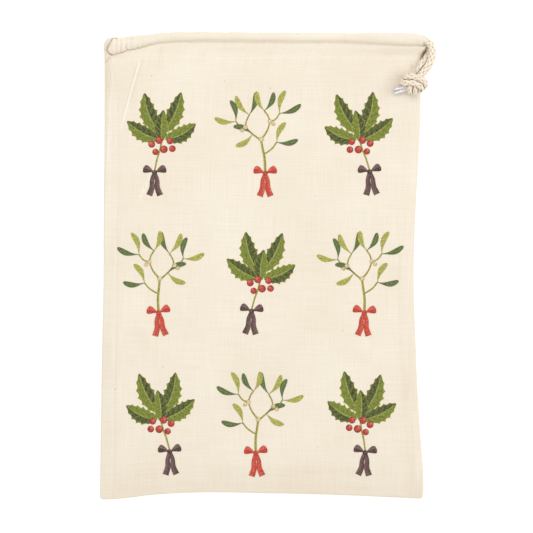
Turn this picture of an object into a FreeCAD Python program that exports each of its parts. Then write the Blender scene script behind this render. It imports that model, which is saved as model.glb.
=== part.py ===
import FreeCAD, Part

import math
import os

import Sketcher

# A drawstring pouch of thin cotton, lying on its back. X runs across it, Y towards its mouth and Z out of
# its front. The origin is the middle of the back panel, on the surface that the pouch lies on.

# Driving sizes in millimetres, written to the sheet as plain numbers.
SIZES = {
    "bag_length": 292.0,
    "cloth": 0.6,
    "casing_depth": 14.5,
    "cord_diameter": 4.75,
    "channel_diameter": 5.4,
    "mouth_gap": 5.0,
    "seam_allowance": 7.5,
    "thread": 0.5,
    "thread_height": 0.2,
    "casing_left": -88.5,
    "bend_left": -90.1,
    "cord_exit": 99.6,
    "knot_length": 17.0,
    "knot_width": 13.0,
    "knot_depth": 11.0,
    "aglet_diameter": 2.5,
    "bartack_height": 5.0,
}

# Cross-sections of the front panel from its foot to its neck, where the casing starts. wall is how high the
# side rises straight up, and shoulder is how far in the cloth then climbs to its full height.
STATIONS = ("foot", "hem", "low", "waist", "chest", "neck")
STATION_SIZES = {
    "foot": {"place": -146.0, "width": 203.0, "wall": 2.0, "shoulder": 6.0, "height": 2.6},
    "hem": {"place": -138.0, "width": 202.4, "wall": 2.8, "shoulder": 8.0, "height": 5.8},
    "low": {"place": -90.0, "width": 199.0, "wall": 3.0, "shoulder": 10.0, "height": 6.2},
    "waist": {"place": 0.0, "width": 195.0, "wall": 3.0, "shoulder": 10.0, "height": 6.4},
    "chest": {"place": 60.0, "width": 196.5, "wall": 3.6, "shoulder": 9.0, "height": 7.8},
    "neck": {"place": 131.5, "width": 198.0, "wall": 8.0, "shoulder": 4.0, "height": 12.2},
}

# The centre lines of the two free strands, from where each leaves its casing to the knot.
FRONT_STRAND = (
    (99.6, 142.7, 14.9),
    (102.9, 142.7, 14.9),
    (105.6, 141.1, 15.1),
    (107.4, 138.0, 15.6),
    (107.5, 133.8, 16.2),
    (105.6, 129.4, 17.0),
    (102.4, 125.3, 17.6),
    (97.4, 119.6, 17.8),
)
BACK_STRAND = (
    (99.6, 142.7, 3.3),
    (102.9, 142.7, 3.3),
    (105.6, 141.2, 4.0),
    (107.2, 138.7, 5.3),
    (107.2, 135.0, 7.4),
    (105.3, 131.6, 10.2),
    (101.6, 128.8, 13.2),
    (97.0, 126.2, 15.0),
    (92.2, 120.0, 15.6),
)
KNOT_CENTRE = (94.8, 114.0, 17.6)
KNOT_TURN = -30.0
# Each aglet's buried end and its tip.
AGLETS = {
    "upper_aglet": ((90.6, 113.0, 14.6), (81.2, 110.4, 13.0)),
    "lower_aglet": ((92.0, 109.8, 14.8), (82.3, 107.2, 12.8)),
}
ARC_SHARE = 0.45  # how much of the shorter run beside a point its arc may use

doc = FreeCAD.newDocument("drawstring_pouch")
sheet = doc.addObject("Spreadsheet::Sheet", "Sizes")
nodes = []


def fill_sheet():
    """Writes every driving size to a cell whose alias is the size's name."""
    cells = dict(SIZES)
    for station in STATIONS:
        for column, value in STATION_SIZES[station].items():
            cells[f"{station}_{column}"] = value
    for row, (name, value) in enumerate(cells.items(), start=1):
        sheet.set(f"A{row}", name)
        sheet.set(f"B{row}", str(value))
        sheet.setAlias(f"B{row}", name)
    doc.recompute()


def keep(piece, label):
    """Marks a finished object as a node of the part."""
    piece.Label = label
    nodes.append(piece)
    return piece


def bind(piece, **expressions):
    """Binds properties to cells. A double underscore in a property's name stands for a dot."""
    for name, expression in expressions.items():
        piece.setExpression(name.replace("__", "."), expression)
    return piece


def origin_plane(body, role):
    """The body's own plane XY_Plane, XZ_Plane or YZ_Plane."""
    return next(f for f in body.Origin.OriginFeatures if f.Role == role)


def outline(body, name, role, offset, corners):
    """A closed sketch on one of the body's planes, moved along its normal by offset. Corners are pairs of
    expressions."""
    sketch = body.newObject("Sketcher::SketchObject", name)
    sketch.AttachmentSupport = [(origin_plane(body, role), "")]
    sketch.MapMode = "FlatFace"
    bind(sketch, AttachmentOffset__Base__z=offset)
    count = len(corners)
    start = [
        FreeCAD.Vector(math.cos(2 * math.pi * k / count), math.sin(2 * math.pi * k / count), 0)
        for k in range(count)
    ]
    for k in range(count):
        sketch.addGeometry(Part.LineSegment(start[k], start[(k + 1) % count]))
    for k in range(count):
        sketch.addConstraint(Sketcher.Constraint("Coincident", k, 2, (k + 1) % count, 1))
    for k, (across, along) in enumerate(corners):
        for kind, expression in (("DistanceX", across), ("DistanceY", along)):
            number = sketch.addConstraint(Sketcher.Constraint(kind, -1, 1, k, 1, 1.0))
            sketch.setExpression(f"Constraints[{number}]", expression)
    return sketch


def flat_piece(label, corners, bottom, thickness):
    """A flat sheet with a straight-sided outline in plan."""
    body = doc.addObject("PartDesign::Body", label)
    sketch = outline(body, f"{label}_outline", "XY_Plane", bottom, corners)
    pad = body.newObject("PartDesign::Pad", f"{label}_pad")
    pad.Profile = sketch
    bind(pad, Length=thickness)
    return keep(body, label)


def edge_points(side, inset, stations):
    """The side edge at each station, moved in by inset. side is + or -."""
    return [(f"{side}(Sizes.{s}_width / 2 - {inset})", f"Sizes.{s}_place") for s in stations]


def back_panel():
    """The back cloth, one layer that lies on the surface."""
    right = edge_points("+", "0", STATIONS)
    left = edge_points("-", "0", STATIONS)
    flat_piece("back_panel", right + left[::-1], "0", "Sizes.cloth")


def section(body, name, station, inset, drop, floor):
    """One cross-section of the front panel's outside or inside."""
    half = f"(Sizes.{station}_width / 2 - {inset})"
    ledge = f"(Sizes.{station}_width / 2 - Sizes.{station}_shoulder)"
    wall = f"Sizes.{station}_wall - {drop} / 2"
    top = f"Sizes.{station}_height - {drop}"
    corners = [
        (f"-{half}", floor),
        (f"-{half}", wall),
        (f"-{ledge}", top),
        (ledge, top),
        (half, wall),
        (half, floor),
    ]
    # the normal of XZ_Plane points to -Y; the inside starts one layer up from the foot and runs out at the neck
    further = inset if station in ("foot", "neck") else "0"
    return outline(body, name, "XZ_Plane", f"-(Sizes.{station}_place + {further})", corners)


def front_panel():
    """The front cloth: a shallow tray over the back panel, open at the neck."""
    body = doc.addObject("PartDesign::Body", "front_panel")
    layers = (
        ("outside", "PartDesign::AdditiveLoft", "0", "0", "Sizes.cloth"),
        ("inside", "PartDesign::SubtractiveLoft", "Sizes.cloth", "Sizes.cloth", "Sizes.cloth / 2"),
    )
    for name, kind, inset, drop, floor in layers:
        sketches = [section(body, f"{name}_{s}", s, inset, drop, floor) for s in STATIONS]
        loft = body.newObject(kind, f"{name}_loft")
        loft.Profile = sketches[0]
        loft.Sections = sketches[1:]
        loft.Ruled = True
    keep(body, "front_panel")


def box(name, place, size):
    """A Part::Box with its corner and its three sizes given as expressions."""
    piece = doc.addObject("Part::Box", name)
    for axis, expression in zip("xyz", place):
        piece.setExpression(f"Placement.Base.{axis}", expression)
    return bind(piece, Length=size[0], Width=size[1], Height=size[2])


def rod(name, place, radius, length):
    """A cylinder along X."""
    piece = doc.addObject("Part::Cylinder", name)
    piece.Placement.Rotation = FreeCAD.Rotation(FreeCAD.Vector(0, 1, 0), 90)
    for axis, expression in zip("xyz", place):
        piece.setExpression(f"Placement.Base.{axis}", expression)
    return bind(piece, Radius=radius, Height=length)


CASING_RADIUS = "(Sizes.channel_diameter / 2 + Sizes.cloth)"
CHANNEL_PLACE = f"(Sizes.bag_length / 2 - {CASING_RADIUS})"
CASING_TOP = "Sizes.bag_length / 2"
CASING_FOOT = "(Sizes.bag_length / 2 - Sizes.casing_depth)"
FRONT_LEVEL = f"(2 * {CASING_RADIUS} + Sizes.mouth_gap)"
CASING_RIGHT = "Sizes.neck_width / 2"
CASING_LENGTH = f"({CASING_RIGHT} - Sizes.casing_left)"


def casing(label, level):
    """The folded-over top of a panel: a round channel for the cord with a flat double hem below it."""
    centre = ("Sizes.casing_left", CHANNEL_PLACE, f"{level} + {CASING_RADIUS}")
    roll = rod(f"{label}_roll", centre, CASING_RADIUS, CASING_LENGTH)
    hem = box(
        f"{label}_hem",
        ("Sizes.casing_left", CASING_FOOT, level),
        (CASING_LENGTH, f"{CHANNEL_PLACE} - {CASING_FOOT}", "2 * Sizes.cloth"),
    )
    channel = rod(f"{label}_channel", centre, "Sizes.channel_diameter / 2", CASING_LENGTH)
    cloth = doc.addObject("Part::Fuse", f"{label}_cloth")
    cloth.Base = roll
    cloth.Tool = hem
    piece = doc.addObject("Part::Cut", label)
    piece.Base = cloth
    piece.Tool = channel
    keep(piece, label)


def left_end_fold():
    """The closed left end of the two casings, which wraps the bend of the cord. It is open to the right."""
    left = "-Sizes.neck_width / 2"
    height = f"{FRONT_LEVEL} + 2 * {CASING_RADIUS}"
    outside = box(
        "fold_outside",
        (left, CASING_FOOT, "0"),
        (f"Sizes.casing_left - ({left})", "Sizes.casing_depth", height),
    )
    inside = box(
        "fold_inside",
        (f"{left} + Sizes.cloth", f"{CASING_FOOT} + Sizes.cloth", "Sizes.cloth"),
        (
            f"Sizes.casing_left - ({left})",
            "Sizes.casing_depth - 2 * Sizes.cloth",
            f"{height} - 2 * Sizes.cloth",
        ),
    )
    piece = doc.addObject("Part::Cut", "left_end_fold")
    piece.Base = outside
    piece.Tool = inside
    keep(piece, "left_end_fold")


def seams():
    """The allowances inside the pouch: two cloth edges on top of each other, and the thread on each seam."""
    stations = STATIONS[1:]
    allowance_top = "3 * Sizes.cloth"
    inner = "(Sizes.cloth + Sizes.seam_allowance)"
    thread_outer = "(Sizes.cloth + Sizes.thread)"
    thread_inner = "(Sizes.cloth + 2 * Sizes.thread)"
    for name, side in (("left_side", "-"), ("right_side", "+")):
        strip = edge_points(side, "Sizes.cloth", stations) + edge_points(side, inner, stations)[::-1]
        flat_piece(f"{name}_seam", strip, "Sizes.cloth", "2 * Sizes.cloth")
        line = edge_points(side, thread_outer, stations) + edge_points(side, thread_inner, stations)[::-1]
        flat_piece(f"{name}_stitching", line, allowance_top, "Sizes.thread_height")
    half = "(Sizes.hem_width / 2 - Sizes.cloth)"
    foot = "(Sizes.foot_place + Sizes.cloth)"
    bottom = box(
        "bottom_seam",
        (f"-{half}", foot, "Sizes.cloth"),
        (f"2 * {half}", f"Sizes.hem_place - {foot}", "2 * Sizes.cloth"),
    )
    keep(bottom, "bottom_seam")
    row = f"({half} - Sizes.seam_allowance)"
    thread = box(
        "bottom_stitching",
        (f"-{row}", f"{foot} + 4 * Sizes.thread", allowance_top),
        (f"2 * {row}", "Sizes.thread", "Sizes.thread_height"),
    )
    keep(thread, "bottom_stitching")


def casing_stitching(label, level):
    """The row of thread that closes a casing, on top of its hem."""
    thread = box(
        label,
        ("Sizes.casing_left", f"{CASING_FOOT} + Sizes.thread", f"{level} + 2 * Sizes.cloth"),
        (CASING_LENGTH, "Sizes.thread", "Sizes.thread_height"),
    )
    keep(thread, label)


def right_slit_bartack():
    """The dense bar of thread that stops the right side seam under the cord's slit."""
    bar = box(
        "right_slit_bartack",
        (CASING_RIGHT, f"{CASING_FOOT} - Sizes.bartack_height", "Sizes.cloth"),
        ("Sizes.thread", "Sizes.bartack_height", "Sizes.neck_wall - 2 * Sizes.cloth"),
    )
    keep(bar, "right_slit_bartack")


def cord_runs():
    """The cord inside the casings: along the front, round the left end and back along the back."""
    run_length = "Sizes.cord_exit - Sizes.bend_left"
    for label, level in (("drawcord_front_run", FRONT_LEVEL), ("drawcord_back_run", "0")):
        place = ("Sizes.bend_left", CHANNEL_PLACE, f"{level} + {CASING_RADIUS}")
        keep(rod(label, place, "Sizes.cord_diameter / 2", run_length), label)
    bend = doc.addObject("Part::Torus", "drawcord_left_bend")
    upright = FreeCAD.Rotation(FreeCAD.Vector(1, 0, 0), 90)
    to_left = FreeCAD.Rotation(FreeCAD.Vector(0, 1, 0), -90)
    bend.Placement.Rotation = to_left.multiply(upright)
    bind(
        bend,
        Radius1=f"{FRONT_LEVEL} / 2",
        Radius2="Sizes.cord_diameter / 2",
        Placement__Base__x="Sizes.bend_left",
        Placement__Base__y=CHANNEL_PLACE,
        Placement__Base__z=f"{FRONT_LEVEL} / 2 + {CASING_RADIUS}",
    )
    bend.Angle3 = 180
    keep(bend, "drawcord_left_bend")


def rounded_path(label, points):
    """Straight runs joined by tangent arcs, each as large as its two runs allow, and the smallest radius."""
    corners = [FreeCAD.Vector(*p) for p in points]
    edges = []
    radii = []
    last = corners[0]
    for before, corner, after in zip(corners, corners[1:], corners[2:]):
        back = before - corner
        ahead = after - corner
        turn = math.pi - back.getAngle(ahead)
        reach = ARC_SHARE * min(back.Length, ahead.Length)
        radius = reach / math.tan(turn / 2)
        back.normalize()
        ahead.normalize()
        start = corner + back * reach
        end = corner + ahead * reach
        middle = corner + (back + ahead).normalize() * (radius / math.cos(turn / 2) - radius)
        edges.append(Part.LineSegment(last, start).toShape())
        edges.append(Part.Arc(start, middle, end).toShape())
        radii.append(radius)
        last = end
    edges.append(Part.LineSegment(last, corners[-1]).toShape())
    print(label, "arc radii", [round(r, 1) for r in radii])
    return Part.Wire(edges)


def strand(label, points):
    """A free stretch of the cord, swept along its route."""
    path = doc.addObject("Part::Feature", f"{label}_path")
    path.Shape = rounded_path(label, points)
    ring = doc.addObject("Part::Circle", f"{label}_ring")
    bind(ring, Radius="Sizes.cord_diameter / 2")
    first = FreeCAD.Vector(*points[1]) - FreeCAD.Vector(*points[0])
    turned = FreeCAD.Rotation(FreeCAD.Vector(0, 0, 1), first)
    ring.Placement = FreeCAD.Placement(FreeCAD.Vector(*points[0]), turned)
    tube = doc.addObject("Part::Sweep", label)
    tube.Sections = [ring]
    tube.Spine = (path, [f"Edge{k + 1}" for k in range(len(path.Shape.Edges))])
    tube.Solid = True
    tube.Frenet = False
    keep(tube, label)
    doc.recompute()
    section_area = math.pi * (SIZES["cord_diameter"] / 2) ** 2
    print(label, "length", round(path.Shape.Length, 2), "volume over section by length",
          round(tube.Shape.Volume / section_area / path.Shape.Length, 4))


def knot():
    """The outer shape of the double overhand knot that joins the two ends."""
    piece = doc.addObject("Part::Ellipsoid", "drawcord_knot")
    bind(
        piece,
        Radius1="Sizes.knot_depth / 2",
        Radius2="Sizes.knot_length / 2",
        Radius3="Sizes.knot_width / 2",
    )
    turned = FreeCAD.Rotation(FreeCAD.Vector(0, 0, 1), KNOT_TURN)
    piece.Placement = FreeCAD.Placement(FreeCAD.Vector(*KNOT_CENTRE), turned)
    keep(piece, "drawcord_knot")


def aglets():
    """The metal tips of the cord's two ends, which stick out of the knot."""
    for label, (buried, tip) in AGLETS.items():
        along = FreeCAD.Vector(*tip) - FreeCAD.Vector(*buried)
        piece = doc.addObject("Part::Cylinder", label)
        piece.Height = along.Length
        bind(piece, Radius="Sizes.aglet_diameter / 2")
        turned = FreeCAD.Rotation(FreeCAD.Vector(0, 0, 1), along)
        piece.Placement = FreeCAD.Placement(FreeCAD.Vector(*buried), turned)
        keep(piece, label)


def write_parts():
    """Checks every object of the document and each node's shape, then writes one STEP file for each node."""
    doc.recompute()
    for piece in doc.Objects:
        if "Invalid" in piece.State or "Error" in piece.State:
            raise RuntimeError(f"{piece.Label} failed: {piece.State}")
    for piece in nodes:
        if piece.Shape.isNull() or not piece.Shape.isValid():
            raise RuntimeError(f"{piece.Label} has no valid shape")
        if len(piece.Shape.Solids) != 1:
            raise RuntimeError(f"{piece.Label} has {len(piece.Shape.Solids)} solids")
    os.makedirs("parts", exist_ok=True)
    for piece in nodes:
        piece.Shape.exportStep(f"parts/{piece.Label}.step")
        size = piece.Shape.BoundBox
        print(f"{piece.Label}: {piece.Shape.Volume:.1f} mm3, x {size.XMin:.2f} to {size.XMax:.2f}, "
              f"y {size.YMin:.2f} to {size.YMax:.2f}, z {size.ZMin:.2f} to {size.ZMax:.2f}")


fill_sheet()
back_panel()
front_panel()
casing("back_casing", "0")
casing("front_casing", FRONT_LEVEL)
left_end_fold()
seams()
casing_stitching("back_casing_stitching", "0")
casing_stitching("front_casing_stitching", FRONT_LEVEL)
right_slit_bartack()
cord_runs()
strand("drawcord_front_strand", FRONT_STRAND)
strand("drawcord_back_strand", BACK_STRAND)
knot()
aglets()
write_parts()
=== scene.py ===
"""Drawstring gift pouch, lying flat on its back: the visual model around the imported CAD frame.

Lengths are in millimetres until a mesh is made. +X is to the cord's exit, +Y to the mouth, +Z up.
"""

import math

import bmesh
import bpy
import numpy as np
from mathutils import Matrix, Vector


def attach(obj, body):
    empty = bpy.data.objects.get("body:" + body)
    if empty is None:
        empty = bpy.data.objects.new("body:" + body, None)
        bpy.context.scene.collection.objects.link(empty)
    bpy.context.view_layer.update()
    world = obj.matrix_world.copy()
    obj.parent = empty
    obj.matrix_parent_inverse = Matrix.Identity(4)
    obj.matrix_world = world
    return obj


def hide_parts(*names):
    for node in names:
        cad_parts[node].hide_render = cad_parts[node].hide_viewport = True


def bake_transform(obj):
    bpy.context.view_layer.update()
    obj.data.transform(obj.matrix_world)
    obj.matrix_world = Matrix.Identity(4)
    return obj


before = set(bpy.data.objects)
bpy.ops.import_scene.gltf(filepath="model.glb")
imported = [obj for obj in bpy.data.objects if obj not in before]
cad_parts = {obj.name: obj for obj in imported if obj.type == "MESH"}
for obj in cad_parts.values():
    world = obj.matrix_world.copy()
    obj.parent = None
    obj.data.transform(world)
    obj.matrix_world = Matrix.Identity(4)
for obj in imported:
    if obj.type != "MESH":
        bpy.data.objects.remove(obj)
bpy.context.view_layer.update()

MM = 0.001

# ---- small maths


def ease(t):
    """0 to 1 with level ends."""
    t = np.clip(t, 0, 1)
    return t * t * (3 - 2 * t)


def mix(a, b, t):
    return a + (b - a) * t


def bell(distance, width):
    return np.exp(-((distance / width) ** 2))


def through(*pairs):
    """A smooth curve through (place, value) pairs, as a function of place."""
    at, value = np.array(pairs, float).T
    slope = np.gradient(value, at)

    def curve(x):
        x = np.clip(x, at[0], at[-1])
        i = np.clip(np.searchsorted(at, x) - 1, 0, len(at) - 2)
        gap = at[i + 1] - at[i]
        t = (x - at[i]) / gap
        start = value[i] * (1 + 2 * t) * (1 - t) ** 2 + slope[i] * gap * t * (1 - t) ** 2
        end = value[i + 1] * t * t * (3 - 2 * t) - slope[i + 1] * gap * t * t * (1 - t)
        return start + end

    return curve


def rumple(x, y, cell, seed):
    """Smooth seeded noise from -1 to 1 over the plane, one value per cell."""
    grid = np.random.RandomState(seed).uniform(-1, 1, (64, 64))
    gx, gy = np.asarray(x) / cell + 31.3, np.asarray(y) / cell + 30.7
    ix, iy = np.floor(gx).astype(int), np.floor(gy).astype(int)
    tx, ty = ease(gx - ix), ease(gy - iy)

    def at(i, j):
        return grid[i % 64, j % 64]

    low = mix(at(ix, iy), at(ix + 1, iy), tx)
    high = mix(at(ix, iy + 1), at(ix + 1, iy + 1), tx)
    return mix(low, high, ty)


def gap_to_line(x, y, points):
    """Distance in the plane from (x, y) to a polyline, and how far along it the nearest point is, 0 to 1."""
    best = np.full(np.shape(x), 1e9)
    along = np.zeros(np.shape(x))
    spans = len(points) - 1
    for k in range(spans):
        (ax, ay), (bx, by) = points[k], points[k + 1]
        dx, dy = bx - ax, by - ay
        t = np.clip(((x - ax) * dx + (y - ay) * dy) / (dx * dx + dy * dy), 0, 1)
        gap = np.hypot(x - ax - t * dx, y - ay - t * dy)
        along = np.where(gap < best, (k + t) / spans, along)
        best = np.minimum(best, gap)
    return best, along


def crease_sum(x, y, creases, fade_in, fade_out):
    """The sum of narrow bells along creases of (points, height, width), each faded at its ends."""
    total = 0 * x
    for points, height, width in creases:
        gap, along = gap_to_line(x, y, points)
        total = total + height * bell(gap, width) * ease(along * fade_in) * ease((1 - along) * fade_out)
    return total


def reach_along(line):
    """The distance along a line of each of its points."""
    return np.r_[0, np.cumsum(np.linalg.norm(np.diff(line, axis=0), axis=1))]


def resample(at, reach, values):
    """Values given at the distances in reach, read at the distances in at."""
    return np.stack([np.interp(at, reach, column) for column in values.T], -1)


def full_turn(count):
    return np.linspace(0, 2 * math.pi, count, endpoint=False)


# ---- mesh helpers


def link(obj):
    bpy.context.scene.collection.objects.link(obj)
    return obj


def make_mesh(name, points, faces, material):
    """A smooth-shaded mesh object from points in millimetres."""
    mesh = bpy.data.meshes.new(name)
    mesh.from_pydata((np.asarray(points, float) * MM).tolist(), [], [list(f) for f in faces])
    mesh.validate()
    mesh.shade_smooth()
    mesh.materials.append(material)
    return link(bpy.data.objects.new(name, mesh))


def grid_faces(rows, columns, close_columns=False, first=0):
    """Quads over a rows x columns grid of points, row by row."""
    j = np.arange(columns if close_columns else columns - 1)
    i = np.arange(rows - 1)[:, None]
    right = (j + 1) % columns
    a = first + i * columns
    quads = np.stack([a + j, a + right, a + columns + right, a + columns + j], -1)
    return quads.reshape(-1, 4).tolist()


def capped_rings(rings, first_cap, last_cap):
    """Points and faces of a tube through rings of points, closed by a fan round each cap point."""
    rows, around = rings.shape[:2]
    points = np.concatenate([rings.reshape(-1, 3), [first_cap], [last_cap]])
    faces = grid_faces(rows, around, close_columns=True)
    last = (rows - 1) * around
    for j in range(around):
        k = (j + 1) % around
        faces += [[k, j, rows * around], [last + j, last + k, rows * around + 1]]
    return points, faces


def points_of(obj):
    """A mesh object's points in millimetres."""
    return np.array([v.co for v in obj.data.vertices]) / MM


def set_point_value(obj, name, values):
    attribute = obj.data.attributes.new(name, "FLOAT", "POINT")
    attribute.data.foreach_set("value", np.asarray(values, np.float32).ravel())


def set_weave_map(obj, u, v):
    """A UV map in metres along and across the threads."""
    layer = obj.data.uv_layers.new(name="Weave")
    loop_point = np.empty(len(obj.data.loops), int)
    obj.data.loops.foreach_get("vertex_index", loop_point)
    uv = np.stack([np.ravel(u)[loop_point], np.ravel(v)[loop_point]], -1) * MM
    layer.data.foreach_set("uv", uv.astype(np.float32).ravel())


def apply_modifiers(obj):
    depsgraph = bpy.context.evaluated_depsgraph_get()
    mesh = bpy.data.meshes.new_from_object(obj.evaluated_get(depsgraph), depsgraph=depsgraph)
    obj.modifiers.clear()
    obj.data = mesh


def thicken(obj, thickness):
    """Gives an open sheet its thickness, behind the face that it was made with."""
    solid = obj.modifiers.new("Thickness", "SOLIDIFY")
    solid.thickness = thickness * MM
    solid.offset = -1
    apply_modifiers(obj)


# ---- materials


class Nodes:
    """A new material, with short names for building its node tree."""

    def __init__(self, name):
        self.material = bpy.data.materials.new(name)
        self.material.use_nodes = True
        self.tree = self.material.node_tree
        self.shader = self.tree.nodes["Principled BSDF"]

    def add(self, kind, inputs=None, **settings):
        """A new node with its settings, and its inputs by name or number."""
        node = self.tree.nodes.new("ShaderNode" + kind)
        for key, value in settings.items():
            setattr(node, key, value)
        for socket, value in (inputs or {}).items():
            self.feed(node.inputs[socket], value)
        return node

    def feed(self, socket, value):
        if isinstance(value, bpy.types.NodeSocket):
            self.tree.links.new(value, socket)
        else:
            socket.default_value = value

    def math(self, operation, *values):
        return self.add("Math", dict(enumerate(values)), operation=operation).outputs[0]

    def ramp(self, value, low, high, to_low=0.0, to_high=1.0):
        inputs = {"Value": value, "From Min": low, "From Max": high, "To Min": to_low, "To Max": to_high}
        return self.add("MapRange", inputs, clamp=True).outputs["Result"]

    def blend(self, factor, a, b, blend_type="MIX"):
        inputs = {"Factor": factor, "A": a, "B": b}
        return self.add("Mix", inputs, data_type="RGBA", blend_type=blend_type).outputs["Result"]

    def scaled(self, vector, x, y, z=1.0):
        return self.add("VectorMath", {0: vector, 1: (x, y, z)}, operation="MULTIPLY").outputs[0]

    def noise(self, vector, scale, detail=2.0, roughness=0.5):
        inputs = {"Vector": vector, "Scale": scale, "Detail": detail, "Roughness": roughness}
        return self.add("TexNoise", inputs, noise_dimensions="3D").outputs["Fac"]

    def attribute(self, name, output="Fac"):
        return self.add("Attribute", attribute_name=name).outputs[output]

    def place(self):
        return self.add("TexCoord").outputs["Object"]

    def surface(self, settings):
        """Sets or links the shader's sockets, and hands back the finished material."""
        for name, value in settings.items():
            self.feed(self.shader.inputs[name], value)
        return self.material

    def bump(self, height, distance, strength):
        inputs = {"Height": height, "Distance": distance, "Strength": strength}
        return self.add("Bump", inputs).outputs["Normal"]


def grey(value):
    return (value, value, value, 1)


THREAD_PITCH = 0.00052


def woven(nodes, vector):
    """Height of a plain weave over a map in metres: each thread goes over one, under one."""
    split = nodes.add("SeparateXYZ", {0: vector})
    turn = math.pi / THREAD_PITCH
    warp = nodes.math("COSINE", nodes.math("MULTIPLY", split.outputs[0], turn))
    weft = nodes.math("COSINE", nodes.math("MULTIPLY", split.outputs[1], turn))
    over = nodes.math("MULTIPLY", nodes.math("MULTIPLY", warp, weft), 0.4)
    warp_top = nodes.math(
        "MULTIPLY", nodes.math("ABSOLUTE", warp), nodes.math("ADD", over, 0.6)
    )
    weft_top = nodes.math(
        "MULTIPLY", nodes.math("ABSOLUTE", weft), nodes.math("SUBTRACT", 0.6, over)
    )
    return nodes.math("MAXIMUM", warp_top, weft_top)


def cotton(name, base, dark, printed=False):
    """Plain-woven unbleached cotton with slubs, cloudy colour and seed flecks, or the ink printed on it; with
    painted shade between the threads, and on the plain cloth painted shade and painted highlight where the
    mesh marks them.
    """
    nodes = Nodes(name)
    weave_map = nodes.add("UVMap", uv_map="Weave").outputs[0]
    wander = nodes.noise(weave_map, 90.0, 2.0)
    shift = nodes.math("MULTIPLY", nodes.math("SUBTRACT", wander, 0.5), 0.0018)
    drift = nodes.add("CombineXYZ", {0: shift, 1: shift}).outputs[0]
    moved = nodes.add("VectorMath", {0: weave_map, 1: drift}, operation="ADD").outputs[0]
    threads = woven(nodes, moved)
    weft_slub = nodes.noise(nodes.scaled(weave_map, 38.0, 1150.0), 1.0, 3.0, 0.6)
    warp_slub = nodes.noise(nodes.scaled(weave_map, 1150.0, 38.0), 1.0, 3.0, 0.6)
    slubs = nodes.math("ADD", weft_slub, warp_slub)
    cloud = nodes.noise(weave_map, 21.0, 3.0, 0.55)

    if printed:
        ink = nodes.attribute("Ink", "Color")
        pools = nodes.noise(weave_map, 850.0, 4.0, 0.75)
        ink = nodes.blend(nodes.ramp(pools, 0.4, 0.6, 0.0, 0.85), ink, grey(0.45), "MULTIPLY")
        bare = nodes.ramp(nodes.noise(weave_map, 1900.0, 2.0), 0.55, 0.68, 0.0, 0.26)
        colour = nodes.blend(bare, ink, base)
    else:
        colour = nodes.blend(nodes.ramp(cloud, 0.3, 0.7), base, dark)
        colour = nodes.blend(nodes.ramp(slubs, 0.75, 1.25, 0.9, 0.0), colour, grey(0.92), "MULTIPLY")
        fleck = nodes.add("TexVoronoi", {"Vector": weave_map, "Scale": 170.0}, feature="F1")
        chosen = nodes.add("SeparateColor", {0: fleck.outputs["Color"]})
        spot = nodes.math(
            "MULTIPLY",
            nodes.ramp(fleck.outputs["Distance"], 0.05, 0.085, 1.0, 0.0),
            nodes.ramp(chosen.outputs[0], 0.945, 0.95),
        )
        colour = nodes.blend(nodes.math("MULTIPLY", spot, 0.5), colour, (0.33, 0.22, 0.11, 1))
    # painted shade: darker where the threads dip between their crossings
    colour = nodes.blend(nodes.ramp(threads, 0.2, 0.85, 0.75, 0.0), colour, grey(0.84), "MULTIPLY")
    if not printed:
        # painted highlight: a lighter cream where the mesh marks lit ridges and the left edge
        painted_highlight = nodes.attribute("PaintedHighlight")
        colour = nodes.blend(painted_highlight, colour, (0.97, 0.94, 0.87, 1))
        # painted shade: a warm brown multiplied in where the mesh marks shade
        painted_shade = nodes.attribute("PaintedShade")
        colour = nodes.blend(painted_shade, colour, (0.47, 0.29, 0.14, 1), "MULTIPLY")
    relief = nodes.math("ADD", threads, nodes.math("MULTIPLY", slubs, 1.1))
    return nodes.surface({
        "Base Color": colour,
        "Roughness": nodes.ramp(threads, 0.2, 0.9, 0.97, 0.86),
        "Sheen Weight": 0.12,
        "Sheen Roughness": 0.6,
        "Specular IOR Level": 0.15,
        "Normal": nodes.bump(relief, 0.00012, 0.42),
    })


def yarn(name, crest, painted_shade, scale=2600.0):
    """Spun cotton yarn with fine fibres, with painted shade in the hollows between strands and in the creases
    where cords lie against each other.
    """
    nodes = Nodes(name)
    place = nodes.place()
    height = nodes.attribute("Strand")
    fibres = nodes.noise(place, scale, 4.0, 0.65)
    tone = nodes.noise(place, 320.0, 2.0)
    raised = nodes.math("ADD", height, nodes.math("MULTIPLY", nodes.math("SUBTRACT", fibres, 0.5), 0.5))
    # painted shade: the low places between the braid's strands take the darker colour
    colour = nodes.blend(nodes.ramp(raised, 0.16, 0.66), painted_shade, crest)
    colour = nodes.blend(nodes.ramp(tone, 0.35, 0.7, 0.0, 0.6), colour, grey(0.9), "MULTIPLY")
    # painted shade in the creases beside the other cords
    crease = nodes.attribute("PaintedShade")
    colour = nodes.blend(crease, colour, (0.30, 0.165, 0.07, 1), "MULTIPLY")
    return nodes.surface({
        "Base Color": colour,
        "Roughness": nodes.ramp(fibres, 0.3, 0.7, 0.82, 0.96),
        "Sheen Weight": 0.15,
        "Specular IOR Level": 0.15,
        "Normal": nodes.bump(fibres, 0.00012, 0.5),
    })


def tip_metal(name):
    """Drawn aluminium, with fine lines along it and dull, slightly dirty patches."""
    nodes = Nodes(name)
    place = nodes.place()
    lines = nodes.noise(nodes.scaled(place, 350.0, 4200.0, 4200.0), 1.0, 3.0)
    patches = nodes.noise(place, 420.0, 3.0)
    colour = nodes.blend(nodes.ramp(patches, 0.35, 0.7), (0.86, 0.86, 0.88, 1), (0.66, 0.65, 0.68, 1))
    return nodes.surface({
        "Base Color": colour,
        "Metallic": 1.0,
        "Roughness": nodes.ramp(lines, 0.3, 0.7, 0.26, 0.44),
        "Normal": nodes.bump(lines, 0.00003, 0.35),
    })


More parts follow.
